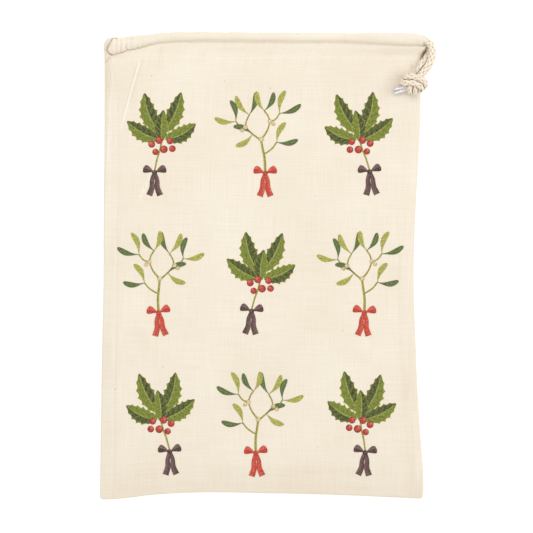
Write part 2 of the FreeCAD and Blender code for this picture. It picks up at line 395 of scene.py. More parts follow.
def floor_paper(name):
    nodes = Nodes(name)
    place = nodes.place()
    grain = nodes.noise(place, 900.0, 3.0)
    return nodes.surface({
        "Base Color": nodes.blend(grain, grey(0.90), grey(0.93)),
        "Roughness": 0.95,
        "Specular IOR Level": 0.1,
        "Emission Color": (1, 1, 1, 1),
        "Emission Strength": 0.25,
    })


CLOTH_BASE = (0.90, 0.832, 0.716, 1)
CLOTH_DARK = (0.865, 0.782, 0.652, 1)
COTTON = cotton("unbleached_cotton", CLOTH_BASE, CLOTH_DARK)
INK = cotton("printed_ink", CLOTH_BASE, CLOTH_DARK, printed=True)
# the second colour of each yarn is the painted shade in its hollows
THREAD = yarn("sewing_thread", (0.86, 0.80, 0.68, 1), (0.74, 0.65, 0.5, 1), 5200.0)
CORD = yarn("cotton_cord", (0.87, 0.80, 0.68, 1), (0.44, 0.315, 0.185, 1))
METAL = tip_metal("drawn_aluminium")

# ---- drawcord

CORD_RADIUS = 2.2
BRAID_HELICES = 5
BRAID_PITCH = 4.2
BRAID_DEPTH = 0.36


def spline_line(name, route):
    """Points in millimetres along the smooth NURBS line that has the route's points as control points."""
    curve = bpy.data.curves.new(name, "CURVE")
    curve.dimensions = "3D"
    curve.resolution_u = 40
    spline = curve.splines.new("NURBS")
    spline.points.add(len(route) - 1)
    for point, place in zip(spline.points, route):
        point.co = (*(v * MM for v in place), 1)
    spline.order_u = 3
    spline.use_endpoint_u = True
    holder = link(bpy.data.objects.new(name, curve))
    bpy.context.view_layer.update()
    mesh = bpy.data.meshes.new_from_object(holder)
    line = np.array([v.co for v in mesh.vertices]) / MM
    bpy.data.objects.remove(holder)
    bpy.data.meshes.remove(mesh)
    return line


def even_steps(line, step):
    """The same line with points evenly spaced, and the distance along it of each."""
    reach = reach_along(line)
    count = max(4, int(round(reach[-1] / step)) + 1)
    at = np.linspace(0, reach[-1], count)
    return resample(at, reach, line), at


def carried_frames(line):
    """Two directions across the line at each point, carried along it without twist."""
    tangent = np.gradient(line, axis=0)
    tangent /= np.linalg.norm(tangent, axis=1)[:, None]
    side = np.cross(tangent[0], (0, 0, 1) if abs(tangent[0][2]) < 0.9 else (0, 1, 0))
    sides = []
    for t in tangent:
        side = side - t * side.dot(t)
        side = side / np.linalg.norm(side)
        sides.append(side)
    sides = np.array(sides)
    return sides, np.cross(tangent, sides)


def rings_along(line, radius, around):
    """A ring of points round each point of a line. radius has a row for each point of the line."""
    sides, ups = carried_frames(line)
    angle = full_turn(around)
    across = sides[:, None] * (radius * np.cos(angle))[..., None]
    return line[:, None] + across + ups[:, None] * (radius * np.sin(angle))[..., None]


def braid_tube(line, radius, step, around, taper=0.0):
    """Points, faces and strand heights of a braided cord along a line, rounded off over taper at its ends."""
    line, reach = even_steps(line, step)
    turn = BRAID_HELICES * full_turn(around)[None, :]
    run = 2 * math.pi * reach[:, None] / BRAID_PITCH
    right, left = np.cos((turn + run) / 2), np.cos((turn - run) / 2)
    over = 0.4 * np.sign(right * left) * np.minimum(1, 3 * np.abs(right * left))
    height = np.maximum(np.abs(right) ** 0.8 * (0.62 + over), np.abs(left) ** 0.8 * (0.62 - over))
    size = np.ones(len(reach))
    if taper:
        for gap in (reach, reach[-1] - reach):
            size *= np.sqrt(1 - (1 - np.clip(gap / taper, 0, 1)) ** 2 * 0.98)
    radii = (radius + BRAID_DEPTH * (height - 0.55)) * size[:, None]
    points, faces = capped_rings(rings_along(line, radii, around), line[0], line[-1])
    return points, faces, np.concatenate([height.ravel(), [0.5, 0.5]])


def fold_shade(points, others, radius, reach=0.75):
    """How deep each point lies in the crease beside the other cords' middle lines, 0 to 1, for painted shade.
    """
    nearest = np.full(len(points), 99.0)
    for line in others:
        for start in range(0, len(points), 4000):
            part = points[start : start + 4000]
            gap = np.linalg.norm(part[:, None] - line[None, ::4], axis=2).min(1)
            nearest[start : start + 4000] = np.minimum(nearest[start : start + 4000], gap)
    return 1 - ease((nearest - radius) / reach)


def cord_piece(name, tubes, material=CORD):
    """One object from several (points, faces, heights)."""
    points, faces, heights, first = [], [], [], 0
    for tube_points, tube_faces, tube_heights in tubes:
        points.append(tube_points)
        faces += [[i + first for i in f] for f in tube_faces]
        heights.append(tube_heights)
        first += len(tube_points)
    obj = make_mesh(name, np.concatenate(points), faces, material)
    set_point_value(obj, "Strand", np.concatenate(heights))
    return obj


# The cord's line inside the casing dips at the gathered left end and at the exit.
CASING_ROUTE_FRONT = [
    (99.6, 140.8, 14.9), (90.0, 141.3, 14.9), (72.0, 142.1, 14.9), (50.0, 142.7, 14.9),
    (20.0, 142.9, 14.9), (-20.0, 143.1, 14.9), (-46.0, 143.2, 14.8), (-62.0, 142.6, 14.7),
    (-74.0, 141.4, 14.5), (-82.0, 140.4, 14.5), (-88.0, 139.8, 14.5),
]
LEFT_BEND = [
    (-93.4, 139.6, 14.2), (-95.6, 139.6, 11.9), (-95.9, 139.6, 9.1), (-95.6, 139.6, 6.3),
    (-93.4, 139.6, 4.0),
]
CASING_ROUTE_BACK = [(x, y, 18.2 - z) for x, y, z in reversed(CASING_ROUTE_FRONT)]

FRONT_ROUTE = [
    (99.6, 140.8, 14.9), (102.4, 140.6, 15.0), (104.7, 138.9, 15.3), (105.7, 135.8, 15.8),
    (105.8, 132.0, 16.5), (105.0, 128.3, 17.2), (103.1, 124.8, 17.8), (100.4, 121.2, 18.0),
    (96.4, 117.2, 17.2),
]
BACK_ROUTE = [
    (99.6, 140.8, 3.3), (102.6, 140.4, 3.6), (104.5, 138.9, 5.2), (105.0, 136.6, 8.2),
    (104.9, 133.6, 10.7), (103.2, 130.4, 12.8), (100.6, 127.2, 14.4), (98.3, 124.2, 15.5),
    (96.9, 120.8, 15.8), (95.4, 117.2, 15.6),
]

casing_line = spline_line("casing_line", CASING_ROUTE_FRONT + LEFT_BEND + CASING_ROUTE_BACK)
drawcord = cord_piece("drawcord_in_casing", [braid_tube(casing_line, CORD_RADIUS - 0.1, 0.4, 32)])
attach(drawcord, "drawcord")
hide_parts("drawcord_front_run", "drawcord_left_bend", "drawcord_back_run")

strands = []
strand_lines = [spline_line("front_strand_line", FRONT_ROUTE), spline_line("back_strand_line", BACK_ROUTE)]
for which, (name, route, node) in enumerate((
    ("front_strand", FRONT_ROUTE, "drawcord_front_strand"),
    ("back_strand", BACK_ROUTE, "drawcord_back_strand"),
)):
    line = strand_lines[which]
    strand = cord_piece(name, [braid_tube(line, CORD_RADIUS, 0.22, 56)])
    # painted shade where this strand lies beside the other
    shade = fold_shade(points_of(strand), [strand_lines[1 - which]], CORD_RADIUS + 0.1, 0.9)
    set_point_value(strand, "PaintedShade", shade)
    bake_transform(strand)
    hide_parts(node)
    strands.append((strand, line, route))

# The knot: two turns of the doubled cord across the top, and the ends coming out below them.
KNOT_ROUTES = [
    [(95.6, 119.0, 14.8), (91.8, 119.0, 14.5), (89.0, 118.0, 15.6), (90.2, 117.5, 18.6), (93.8, 117.9, 20.2),
     (98.2, 116.9, 20.3), (101.3, 114.6, 18.6), (101.1, 111.9, 15.8), (98.2, 112.0, 14.5)],
    [(96.0, 116.8, 14.7), (92.0, 117.0, 14.4), (87.9, 116.0, 15.0), (87.9, 113.9, 17.4), (90.6, 114.7, 19.4),
     (94.2, 114.4, 19.9), (97.4, 112.9, 19.3), (99.5, 111.0, 17.0), (97.8, 110.7, 14.8)],
    [(91.6, 116.0, 15.6), (92.0, 113.6, 18.0), (91.8, 110.7, 17.6), (91.8, 108.5, 15.6), (92.6, 109.9, 14.1)],
    [(95.0, 115.0, 15.6), (95.2, 112.4, 18.0), (95.2, 109.8, 17.2), (95.0, 108.0, 15.3), (95.2, 110.2, 14.1)],
    [(98.2, 114.2, 15.6), (98.2, 111.8, 17.0), (98.0, 109.9, 16.0), (97.8, 109.0, 14.9), (97.4, 110.8, 14.1)],
    [(95.0, 113.4, 14.4), (92.8, 113.0, 14.8), (90.6, 112.2, 14.7), (88.8, 111.8, 14.5)],
    [(95.4, 112.2, 14.1), (93.2, 111.6, 14.0), (91.0, 110.9, 13.8), (89.0, 110.3, 13.5)],
]
KNOT_RADII = (1.95, 2.0, 1.6, 1.55, 1.45, 1.35, 1.35)
knot_tubes, knot_lines = [], []
for number, (route, radius) in enumerate(zip(KNOT_ROUTES, KNOT_RADII)):
    line = spline_line(f"knot_line_{number}", route)
    knot_lines.append(line)
    knot_tubes.append(braid_tube(line, radius, 0.2, 48, taper=1.2))
knot = cord_piece("cord_knot", knot_tubes)
# painted shade in the knot's creases, where its turns lie against each other
shades = []
for number, (points, _, _) in enumerate(knot_tubes):
    others = [line for k, line in enumerate(knot_lines) if k != number and max(k, number) < 5]
    shades.append(fold_shade(points, others, min(KNOT_RADII[number], 1.85), 0.9))
set_point_value(knot, "PaintedShade", np.concatenate(shades))
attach(knot, "loop")
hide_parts("drawcord_knot")

# ---- aglets

AGLET_PROFILE = [
    (0.0, 0.8), (0.0, 1.06), (0.25, 1.12), (0.6, 1.06), (1.3, 1.02), (1.7, 0.9), (2.1, 0.9), (2.5, 1.0),
    (5.4, 0.97), (7.6, 0.94), (8.9, 0.88), (9.5, 0.78), (9.85, 0.58), (10.0, 0.3), (10.02, 0.0),
]


def aglet_mesh(name, start, end, material):
    """A rolled metal tip from start to end, with a crimp near the cord and a lengthwise joint."""
    start, end = np.array(start, float), np.array(end, float)
    length = np.linalg.norm(end - start)
    way = (end - start) / length
    side = np.cross(way, (0, 0, 1))
    side /= np.linalg.norm(side)
    up = np.cross(side, way)
    stations, radii = np.array(AGLET_PROFILE).T
    fine = np.unique(np.concatenate([stations, np.linspace(0.3, 9.4, 40)]))
    radii = np.interp(fine, stations, radii)
    fine = np.r_[0.0, fine]
    radii = np.r_[0.0, radii]
    around = 40
    angle = full_turn(around)
    joint = 0.07 * bell(np.angle(np.exp(1j * (angle - 1.1))), 0.16)
    points = []
    for at, r in zip(fine, radii):
        spread = np.maximum(r - joint * min(1, r), 0)[:, None]
        centre = start + way * at * length / AGLET_PROFILE[-1][0]
        points.append(centre + side * spread * np.cos(angle)[:, None] + up * spread * np.sin(angle)[:, None])
    return make_mesh(name, np.concatenate(points), grid_faces(len(fine), around, True), material)


AGLETS = {
    "aglet_upper": ("upper_aglet", (90.0, 112.1, 14.7), (81.4, 110.3, 13.5)),
    "aglet_lower": ("lower_aglet", (90.0, 110.6, 13.6), (81.9, 108.0, 12.8)),
}
for name, (node, start, end) in AGLETS.items():
    aglet = aglet_mesh(name, start, end, METAL)
    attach(aglet, "loop")
    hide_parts(node)

for strand, line, route in strands:
    length = reach_along(line)[-1]
    (even_steps(line, 0.5)[0] * MM).tolist()

# ---- cloth: outline and heights

CLOTH = 0.5
STITCH_Y = 131.3
FOOT_Y = -146.0

left_edge = through(
    (-146, -101.9), (-115, -101.4), (-65, -100.7), (-10, -99.6), (35, -99.4), (70, -99.0),
    (110, -98.7), (127, -98.6), (136, -98.9),
)
right_edge = through(
    (-146, 101.3), (-130, 101.2), (-115, 100.0), (-90, 98.3), (-65, 97.0), (-40, 96.1), (-10, 95.2),
    (35, 96.3), (60, 97.6), (97, 99.2), (120, 98.8), (128, 98.4), (132, 99.0), (135, 99.9), (138, 101.0),
    (141, 101.9), (144, 101.5),
)
foot_line = through(
    (-102, -146.0), (-86, -145.1), (-71, -143.2), (-55, -142.0), (-38, -141.4), (0, -141.9), (30, -142.5),
    (50, -143.1), (66, -143.8), (84, -144.6), (101, -145.4),
)
stitch_line = through((-99, 128.9), (-93, 129.5), (-84, 130.9), (-74, 131.3), (0, 131.3), (100, 131.2))
middle_height = through(
    (-146, 3.0), (-138, 4.4), (-120, 5.2), (-90, 5.6), (0, 6.0), (60, 7.4), (100, 9.8), (120, 12.0),
    (131.3, 12.75),
)
edge_radius = through((-146, 1.35), (20, 1.35), (60, 1.7), (100, 3.6), (122, 5.7), (131.3, 6.3))

# The casing's roll of cloth round the cord, seen from above: its middle and half its width.
roll_middle = through(
    (-99, 137.4), (-93, 137.6), (-88, 138.3), (-81, 139.7), (-73, 141.0), (-64, 142.3), (-54, 143.1),
    (-40, 143.4), (-20, 143.3), (28, 142.9), (60, 142.7), (75, 142.2), (88, 141.8), (95, 141.7),
    (99, 141.2), (102, 140.7),
)
roll_half = through(
    (-99, 5.1), (-93, 5.2), (-88, 4.6), (-81, 3.9), (-73, 3.45), (-64, 3.1), (-54, 2.95), (-40, 2.9),
    (28, 2.9), (60, 3.0), (75, 3.5), (88, 3.85), (95, 3.7), (98, 3.5), (100, 3.3), (102, 3.0),
)
ROLL_DEPTH = 3.12
FRONT_ROLL_Z = 14.9
BACK_ROLL_Z = 3.3
ROLL_BEND_X = -90.1
ROLL_BEND_RADIUS = 5.8

SEAM_IN = 7.6


# Creases and broad soft folds of the front: points, height and width.
CREASES = (
    ([(-75.6, 130), (-78.6, 120.5), (-81.5, 110), (-86, 94), (-89, 84)], 1.1, 0.95),
    ([(-63.6, 137), (-63.2, 130), (-64.5, 118)], 0.5, 0.9),
    ([(84, 130), (80, 124), (78, 116)], 0.32, 1.1),
    ([(-92, 128), (-90, 116), (-93, 104)], 0.22, 1.3),
    ([(12, 56), (-10, 40), (-30, 22), (-38, 2)], 0.75, 5.0),
    ([(-64, 62), (-76, 48), (-92, 30)], 0.6, 3.5),
    ([(88, 44), (80, 26), (76, 6)], 0.6, 4.5),
    ([(-80, -34), (-66, -52), (-40, -62)], 0.6, 5.0),
    ([(30, -56), (52, -48), (84, -62)], 0.6, 5.0),
    ([(-94, -128), (-40, -125), (30, -127), (92, -126)], 0.4, 2.6),
)


def wrinkles(x, y):
    """Unevenness of the front cloth: slack, seams pressing through, and the photograph's creases."""
    lift = 0.42 * rumple(x, y, 46, 3) + 0.26 * rumple(x, y, 19, 5) + 0.07 * rumple(x, y * 0.8, 7, 8)
    edge = np.minimum(x - left_edge(y), right_edge(y) - x)
    lift = lift * ease(edge / 14) * ease((y - FOOT_Y) / 14)
    seam = 0.42 * (1 - ease((edge - SEAM_IN + 0.9) / 1.8)) * ease((120 - y) / 30)
    hem = 0.42 * (1 - ease((y - foot_line(x) - SEAM_IN + 0.9) / 1.8))
    lift = lift + np.maximum(seam, hem)
    lift = lift + crease_sum(x, y, CREASES, 5, 2.5)
    # puckers that run down from the casing's stitches
    depth = bell(np.maximum(STITCH_Y - y, 0), 5.0)
    ripple = np.sin(x / 1.9 + 2.2 * rumple(x, 0 * x, 14, 12)) * (0.6 + 0.4 * rumple(x, 0 * x, 9, 13))
    thread_line = 0.2 * bell(y - stitch_line(x), 0.7) - 0.12 * bell(y - stitch_line(x) + 2.2, 1.2)
    return lift + 0.09 * depth * ripple - thread_line


def back_height(x, y):
    """Underside of the bag: it rests on the table, with shallow hollows where the cloth has lifted."""
    edge = np.minimum(x - left_edge(y), right_edge(y) - x)
    rise = 0.26 * rumple(x, y, 40, 31) + 0.16 * rumple(x, y, 15, 32) + 0.05
    inside = ease((edge - 3) / 12) * ease((y - FOOT_Y - 3) / 12) * ease((126 - y) / 12)
    return 0.08 + np.clip(rise, 0, 0.5) * inside


def front_height(x, y):
    """Top of the front cloth away from its rounded edges."""
    radius = edge_radius(y)
    left = x - left_edge(y) - radius
    right = right_edge(y) - x - radius
    rise = 1 - np.exp(-np.clip(np.minimum(left, right), 0, None) / 5.5)
    foot = 1 - np.exp(-np.clip(y - foot_line(x) - 1.3, 0, None) / 6.0)
    edge_top = 2 * radius + 0.1
    # towards the mouth the cloth rises to meet the casing's roll, most of all at its gathered left end
    mouth = 0.9 * ease((y - 94) / 37) * (1 - ease((x - 66) / 14))
    mouth = mouth + 1.0 * ease((-58 - x) / 28) * ease((y - 100) / 31)
    return edge_top + (middle_height(y) - edge_top) * rise * foot + mouth + wrinkles(x, y)


# ---- cloth: the sheet

CURL = 8
WRAP = 32
SLIT_Y = 128.6
SLIT_EDGE_RADIUS = 3.2
CORNER_RADIUS = 2.6
FOOT_RADIUS = 1.3


def column_table():
    """Each column's side (1 front, -1 back), place across the flat (0 left, 1 right), turn and edge."""
    across = np.concatenate([np.linspace(0, 0.2, 78), np.linspace(0.2, 1, 76)[1:]])
    behind = np.concatenate([np.linspace(0, 0.2, 34), np.linspace(0.2, 1, 40)[1:]])
    curl = np.linspace(90, 0, CURL, endpoint=False)
    side, place, turn, edge = [], [], [], []

    def put(count, sides, places, turns, edges):
        side.extend([sides] * count)
        place.extend(places)
        turn.extend(turns)
        edge.extend([edges] * count)

    put(CURL, 1, [1.0] * CURL, curl, 1)
    put(len(across), 1, across[::-1], [0.0] * len(across), 0)
    wrap = np.linspace(0, 180, WRAP + 2)[1:-1]
    put(WRAP, 0, [0.0] * WRAP, wrap, -1)
    put(len(behind), -1, behind, [180.0] * len(behind), 0)
    put(CURL, -1, [1.0] * CURL, 180 - curl[::-1], 1)
    return np.array(side), np.array(place), np.radians(np.array(turn, float)), np.array(edge)


SIDE, PLACE, TURN, EDGE = column_table()
COLUMNS = len(SIDE)
# how far round from front (0) to back (1)
ROUND = np.where(SIDE == 1, 0.0, np.where(SIDE == -1, 1.0, TURN / math.pi))


def corner(y):
    """How far the foot's rounded corners lie in from the side edges."""
    gap = np.clip((y - FOOT_Y) / CORNER_RADIUS, 0, 1)
    return CORNER_RADIUS * (1 - np.sqrt(1 - (1 - gap) ** 2))


def row_x(y, left_flat, right_radius):
    """x of each column, from where the flat begins on the left and how round the right edge is."""
    right_flat = right_edge(y) + back_longer(y) - right_radius - corner(y)
    flat = left_flat + PLACE * (right_flat - left_flat)
    round_left = left_flat - (left_flat - left_edge(y) - corner(y)) * np.sin(TURN)
    round_right = right_flat + right_radius * np.sin(TURN)
    return np.where(EDGE == -1, round_left, np.where(EDGE == 1, round_right, flat))


def back_longer(y):
    """How far the back casing shows past the front one at the slit."""
    return np.where(SIDE == -1, 1.8 * ease((y - 127) / 6), 0.0)


def body_row(y_nominal):
    """One row of the bag between its foot and the casing's stitches."""
    y0 = np.full(COLUMNS, float(y_nominal))
    radius = edge_radius(y0)
    right_radius = mix(radius, SLIT_EDGE_RADIUS, ease((y0 - 120) / 11))
    x = row_x(y0, left_edge(y0) + corner(y0) + radius, right_radius)
    y = y0 + (foot_line(x) - FOOT_Y) * (1 - ease((y0 - FOOT_Y) / 70))
    y = y + (stitch_line(x) - STITCH_Y) * ease((y0 - 95) / (STITCH_Y - 95))
    level = radius + 0.1
    open_up = ease((y0 - SLIT_Y) / 7.0) * (EDGE == 1)
    seam_front = mix(level, 11.6, open_up)
    seam_back = mix(level, 0.9, open_up)
    foot = np.sqrt(1 - (1 - np.clip((y - foot_line(x)) / FOOT_RADIUS, 0, 1)) ** 2)
    top = front_height(x, y)
    floor = back_height(x, y) + 0.22 * ease((y0 - 127) / 4)
    factor = np.abs(np.cos(TURN)) * foot
    seam = np.where(SIDE * 2 + np.cos(TURN) > 0, seam_front, seam_back)
    z = np.where(np.cos(TURN) >= 0, seam + (top - seam) * factor, seam + (floor - seam) * factor)
    return x, y, z


# The gathers of the casing at its left end: each whole number is the bottom of a fold.
fold_number = through(
    (-108, -4), (-104, -3), (-101, -2), (-97.5, -1), (-94.4, 0), (-90.4, 1), (-87.6, 2), (-84.2, 3),
    (-81.6, 4), (-77.8, 5), (-74.3, 6), (-70.2, 7), (-66.5, 8), (-61, 9), (-56, 10), (-48, 11), (-38, 12),
    (70, 32), (77, 33), (81, 34), (86, 35), (90, 36), (96, 37), (103, 38),
)


def pucker(x, turn):
    """How far the gathered roll swells (1) or draws in (-1) at a place along it."""
    leaned = x + 0.8 * np.sin(turn) + 1.7 * rumple(x, turn * 5, 5, 21)
    wave = 1 - 2 * (1 - np.abs(np.sin(math.pi * fold_number(leaned)))) ** 1.7
    uneven = 0.7 + 0.85 * rumple(x, turn * 4, 4, 22)
    left = ease((-62 - x) / 22) + 0.18 * ease((-40 - x) / 14)
    right = 0.3 * ease((x - 76) / 14)
    small = 0.45 * rumple(x, turn * 5, 9, 23) + 0.42 * rumple(x, turn * 3, 2.8, 24)
    return wave * uneven * (left + right) + small


def roll_frame(x):
    """Middle of the roll and its outward direction in X and Z for each column; x is its flat place."""
    turn = math.pi * ROUND
    bent = EDGE == -1
    cx = np.where(bent, ROLL_BEND_X - ROLL_BEND_RADIUS * np.sin(turn), x)
    centre_z = (FRONT_ROLL_Z + BACK_ROLL_Z) / 2
    flat_z = np.where(SIDE == 1, FRONT_ROLL_Z, BACK_ROLL_Z)
    cz = np.where(bent, centre_z + ROLL_BEND_RADIUS * np.cos(turn), flat_z)
    nx = np.where(bent, -np.sin(turn), 0.0)
    nz = np.where(bent, np.cos(turn), np.where(SIDE == 1, 1.0, -1.0))
    return cx, cz, nx, nz


FLAP_ROWS = 7
FILLET_ROWS = 6
ROLL_ROWS = 44
FILLET = 0.9
ROLL_Y = 142.0
FINE_ROWS_Y = 84
INNER_ROWS = 34
HEM_GAP = 1.12


def casing_rows():
    """Rows from the stitches up the flap, round the roll and back down inside it to the stitches."""
    turned = ease(ROUND)
    out_offset = mix(14.7 - FRONT_ROLL_Z, BACK_ROLL_Z - 0.1, turned)
    in_offset = mix(11.62 - FRONT_ROLL_Z, BACK_ROLL_Z - 1.25, turned)
    bend = np.where(EDGE == -1, np.sin(math.pi * ROUND), 0.0)
    out_offset = out_offset + 1.2 * bend
    x_roll = row_x(np.full(COLUMNS, ROLL_Y), ROLL_BEND_X, 1.0)
    x_roll = np.where(EDGE == -1, ROLL_BEND_X, x_roll)
    # away from the gathered end and the exit, the cloth rises to the roll in a softer step
    soft = np.where(SIDE == 1, ease((x_roll + 55) / 16) * (1 - ease((x_roll - 78) / 18)), 0.0)
    start_angle = np.radians(mix(172.0, 100.0, turned) - 17.0 * bend - 24.0 * soft)
    end_angle = np.radians(mix(-96.0, -196.0, turned))
    fillet = FILLET + 1.1 * soft
    cx, cz, nx, nz = roll_frame(x_roll)
    along = np.where(EDGE == -1, ROLL_BEND_X - 8 * np.sin(math.pi * ROUND), x_roll)
    middle, half = roll_middle(along), roll_half(along)

    def on_roll(angle):
        folds = pucker(np.where(EDGE == -1, ROLL_BEND_X - 18 * ROUND, x_roll), angle)
        swell = 1 + np.where(EDGE == -1, 0.05, 0.16) * folds
        cuff = 1 - 0.08 * np.where(EDGE == 1, np.sin(TURN), 0)
        a, b = half * mix(1, swell, 0.6) * cuff, ROLL_DEPTH * swell * cuff
        deep = b * np.sin(angle)
        y = middle + a * np.cos(angle) + 0.3 * rumple(x_roll, 3 + 0 * x_roll, 3.6, 25)
        end = np.where(EDGE == 1, right_edge(y) - right_edge(ROLL_Y), 0.0)
        return cx + nx * deep + end, y, cz + nz * deep

    rows = []
    start = on_roll(start_angle)
    y_base = start[1] - fillet
    stitch = body_row(STITCH_Y)
    for k in range(1, FLAP_ROWS + 1):
        t = k / FLAP_ROWS
        y = mix(stitch[1], y_base, t)
        # the flap's own level, drawn in towards the roll's bend at the left end
        target_x = cx + nx * out_offset
        target_z = cz + nz * out_offset
        x = mix(stitch[0], target_x, ease(t))
        z = mix(stitch[2], target_z, ease(t))
        z = z + np.where(SIDE == 1, wrinkles(x, y) * (1 - t) * 0.3, 0)
        rows.append((x, y, z))
    flap_x, _, flap_z = rows[-1]
    for k in range(1, FILLET_ROWS):
        step = k / FILLET_ROWS
        t = math.pi / 2 * step
        y = y_base + fillet * mix(math.sin(t), step, soft)
        rise = mix(1 - math.cos(t), step**2, soft)
        rows.append((mix(flap_x, start[0], rise), y, mix(flap_z, start[2], rise)))
    for k in range(ROLL_ROWS + 1):
        rows.append(on_roll(mix(start_angle, end_angle, k / ROLL_ROWS)))
    last = rows[-1]
    inner_x = cx + nx * in_offset
    inner_z = cz + nz * in_offset
    for k in range(1, FILLET_ROWS):
        t = math.pi / 2 * k / FILLET_ROWS
        y = last[1] - FILLET * (1 - math.cos(t))
        rows.append((mix(last[0], inner_x, math.sin(t)), y, mix(last[2], inner_z, math.sin(t))))
    y_turn = last[1] - FILLET
    # the hem lies inside the cloth that it is sewn to
    hem_x = stitch[0] + np.where(EDGE == -1, HEM_GAP * np.sin(TURN), 0)
    hem_z = stitch[2] - HEM_GAP * np.where(SIDE == 0, np.cos(TURN), SIDE)
    for k in range(1, FLAP_ROWS + 1):
        t = k / FLAP_ROWS
        y = mix(y_turn, stitch[1] - 0.6, t)
        rows.append((mix(inner_x, hem_x, ease(t)), y, mix(inner_z, hem_z, ease(t))))
    return rows


def cloth_rows():
    """Rows from the foot to the hem: close together at the foot and near the mouth."""
    foot = FOOT_Y + FOOT_RADIUS * (1 - np.cos(np.linspace(0, math.pi / 2, 7)))
    low = np.linspace(FOOT_Y + FOOT_RADIUS, FINE_ROWS_Y, 64)[1:]
    high = STITCH_Y - (STITCH_Y - FINE_ROWS_Y) * (1 - np.linspace(0, 1, 40)[1:]) ** 1.5
    rows = [body_row(y) for y in np.concatenate([foot, low, high])]
    return rows + casing_rows()


rows = cloth_rows()
POINTS = np.array([np.stack(r, -1) for r in rows])

# Grooves at the left end: the curled lip of the fold and the small tuck under it.
px, py, pz = POINTS[..., 0], POINTS[..., 1], POINTS[..., 2]
d_row = np.gradient(POINTS, axis=0)
d_column = np.gradient(POINTS, axis=1)
normal = np.cross(d_row, d_column)
normal /= np.linalg.norm(normal, axis=2)[..., None] + 1e-9
upper = ease((pz - 7.5) / 3.0)
outer = np.arange(len(POINTS))[:, None] < len(POINTS) - INNER_ROWS
LIP = [
    (-92.6, 143.6), (-93.7, 141.0), (-94.9, 138.8), (-96.4, 136.4), (-96.7, 134.6), (-95.6, 132.9),
    (-93.6, 132.0),
]
lip, lip_along = gap_to_line(px, py, LIP)
tuck, _ = gap_to_line(px, py, [(-95.2, 130.4), (-96.0, 129.2), (-97.9, 127.2)])
knob = np.hypot(px + 97.0, (py - 129.6) * 0.8)
lip_depth = 1 - ease((lip_along - 0.6) / 0.4)
notch, _ = gap_to_line(px, py, [(-95.2, 142.9), (-93.0, 143.0), (-90.4, 142.1)])
push = (0.4 * bell(lip, 1.6) - 1.1 * bell(lip, 0.5)) * lip_depth - 0.6 * bell(notch, 0.45)
push = push - 0.5 * bell(tuck, 0.42) + 0.4 * bell(knob, 1.4)
towards = np.where(normal[..., 2:] < 0, -1, 1) * normal
POINTS = POINTS + towards * (push * upper * outer)[..., None]
POINTS[..., 2] = np.maximum(POINTS[..., 2], 0.03)

row_count = len(POINTS)
BODY_ROWS = row_count - len(casing_rows())
MIDDLE_ROW = 40
MIDDLE_COLUMN = CURL + 40
map_u = reach_along(POINTS[MIDDLE_ROW])
map_v = reach_along(POINTS[:, MIDDLE_COLUMN])

pouch = make_mesh("pouch_cloth", POINTS.reshape(-1, 3), grid_faces(row_count, COLUMNS), COTTON)

# Painted shade: the cloth is darkened to a warm brown where shade falls, in its folds and creases, under the
# roll, in the slit, along seams and edges, towards the foot and round the knot, standing in for light that
# bounces between its faces and comes back warmer.
from_roll = np.arange(row_count)[:, None] - BODY_ROWS - FLAP_ROWS
on_front = (SIDE == 1) * (from_roll < 0)
below_roll = (SIDE == 1) * (from_roll < 4)
# painted shadow along the foot of the roll; painted shade in the puckers' valleys and in the slit
under_roll = bell(from_roll - 2, 1.8) * (SIDE == 1)
puckered = np.clip(-pucker(px, 1.0 + 0 * px) - 0.25, 0, 1) * (SIDE >= 0)
puckered = puckered * ((from_roll > 2) & (from_roll < 34))
in_slit = ease((px - 97.0) / 1.5) * bell(py - 134.5, 5.5) * ((SIDE == -1) | (from_roll > ROLL_ROWS))
# painted shade in the grooves of the lip, the notch and the tuck
painted_shade = 0.75 * bell(lip, 0.36) + 0.7 * bell(notch, 0.36) + 0.3 * bell(tuck, 0.4)
painted_shade = painted_shade * upper + 0.95 * in_slit
# painted shade beside two creases and along the hem's line
for points, depth in (
    ([(-74.2, 129), (-77.2, 120.5), (-80.1, 110), (-84.8, 94)], 0.10),
    ([(-62.6, 137), (-62.3, 130), (-63.6, 118)], 0.09),
    ([(88, -127.2), (60, -127.8), (20, -127.4), (-10, -126.6)], 0.05),
):
    gap, along = gap_to_line(px, py, points)
    painted_shade = painted_shade + depth * bell(gap, 0.8) * ease((1 - along) * 2.5) * below_roll
# painted shade along the side seams, the hem and the rolled edges, darker towards the foot and the lower
# right edge, and a painted shadow left of the knot
edge_gap = np.minimum(px - left_edge(py), right_edge(py) - px)
seam_shade = 0.05 * bell(edge_gap - SEAM_IN - 1.2, 0.9) * ease((50 - py) / 50)
foot_shade = 0.05 * ease((-112 - py) / 26) + 0.04 * bell(py - foot_line(px) - 5.4, 0.7)
foot_shade = foot_shade + 0.07 * (1 - ease((right_edge(py) - px) / 14)) * ease((20 - py) / 120)
edge_line = 0.08 * bell(edge_gap - 2.3, 0.5) * ease((py - 20) / 40) * ease((127 - py) / 6)
knot_gap, _ = gap_to_line(px, py, [(78, 110), (81, 116), (85, 120)])
knot_shade = 0.15 * bell(knot_gap, 4.5)
painted_shade = painted_shade + (seam_shade + foot_shade + edge_line + knot_shade) * on_front
# painted shade in the crease at the lip's lower end
lip_end, _ = gap_to_line(px, py, [(-94.4, 132.1), (-92.8, 131.9), (-90.8, 132.3)])
painted_shade = painted_shade + 0.6 * bell(lip_end, 0.45) * upper * outer
# painted shade in the puckers' valleys, deeper at the gathered end
painted_shade = painted_shade + puckered * (0.12 + 0.3 * ease((-62 - px) / 20))
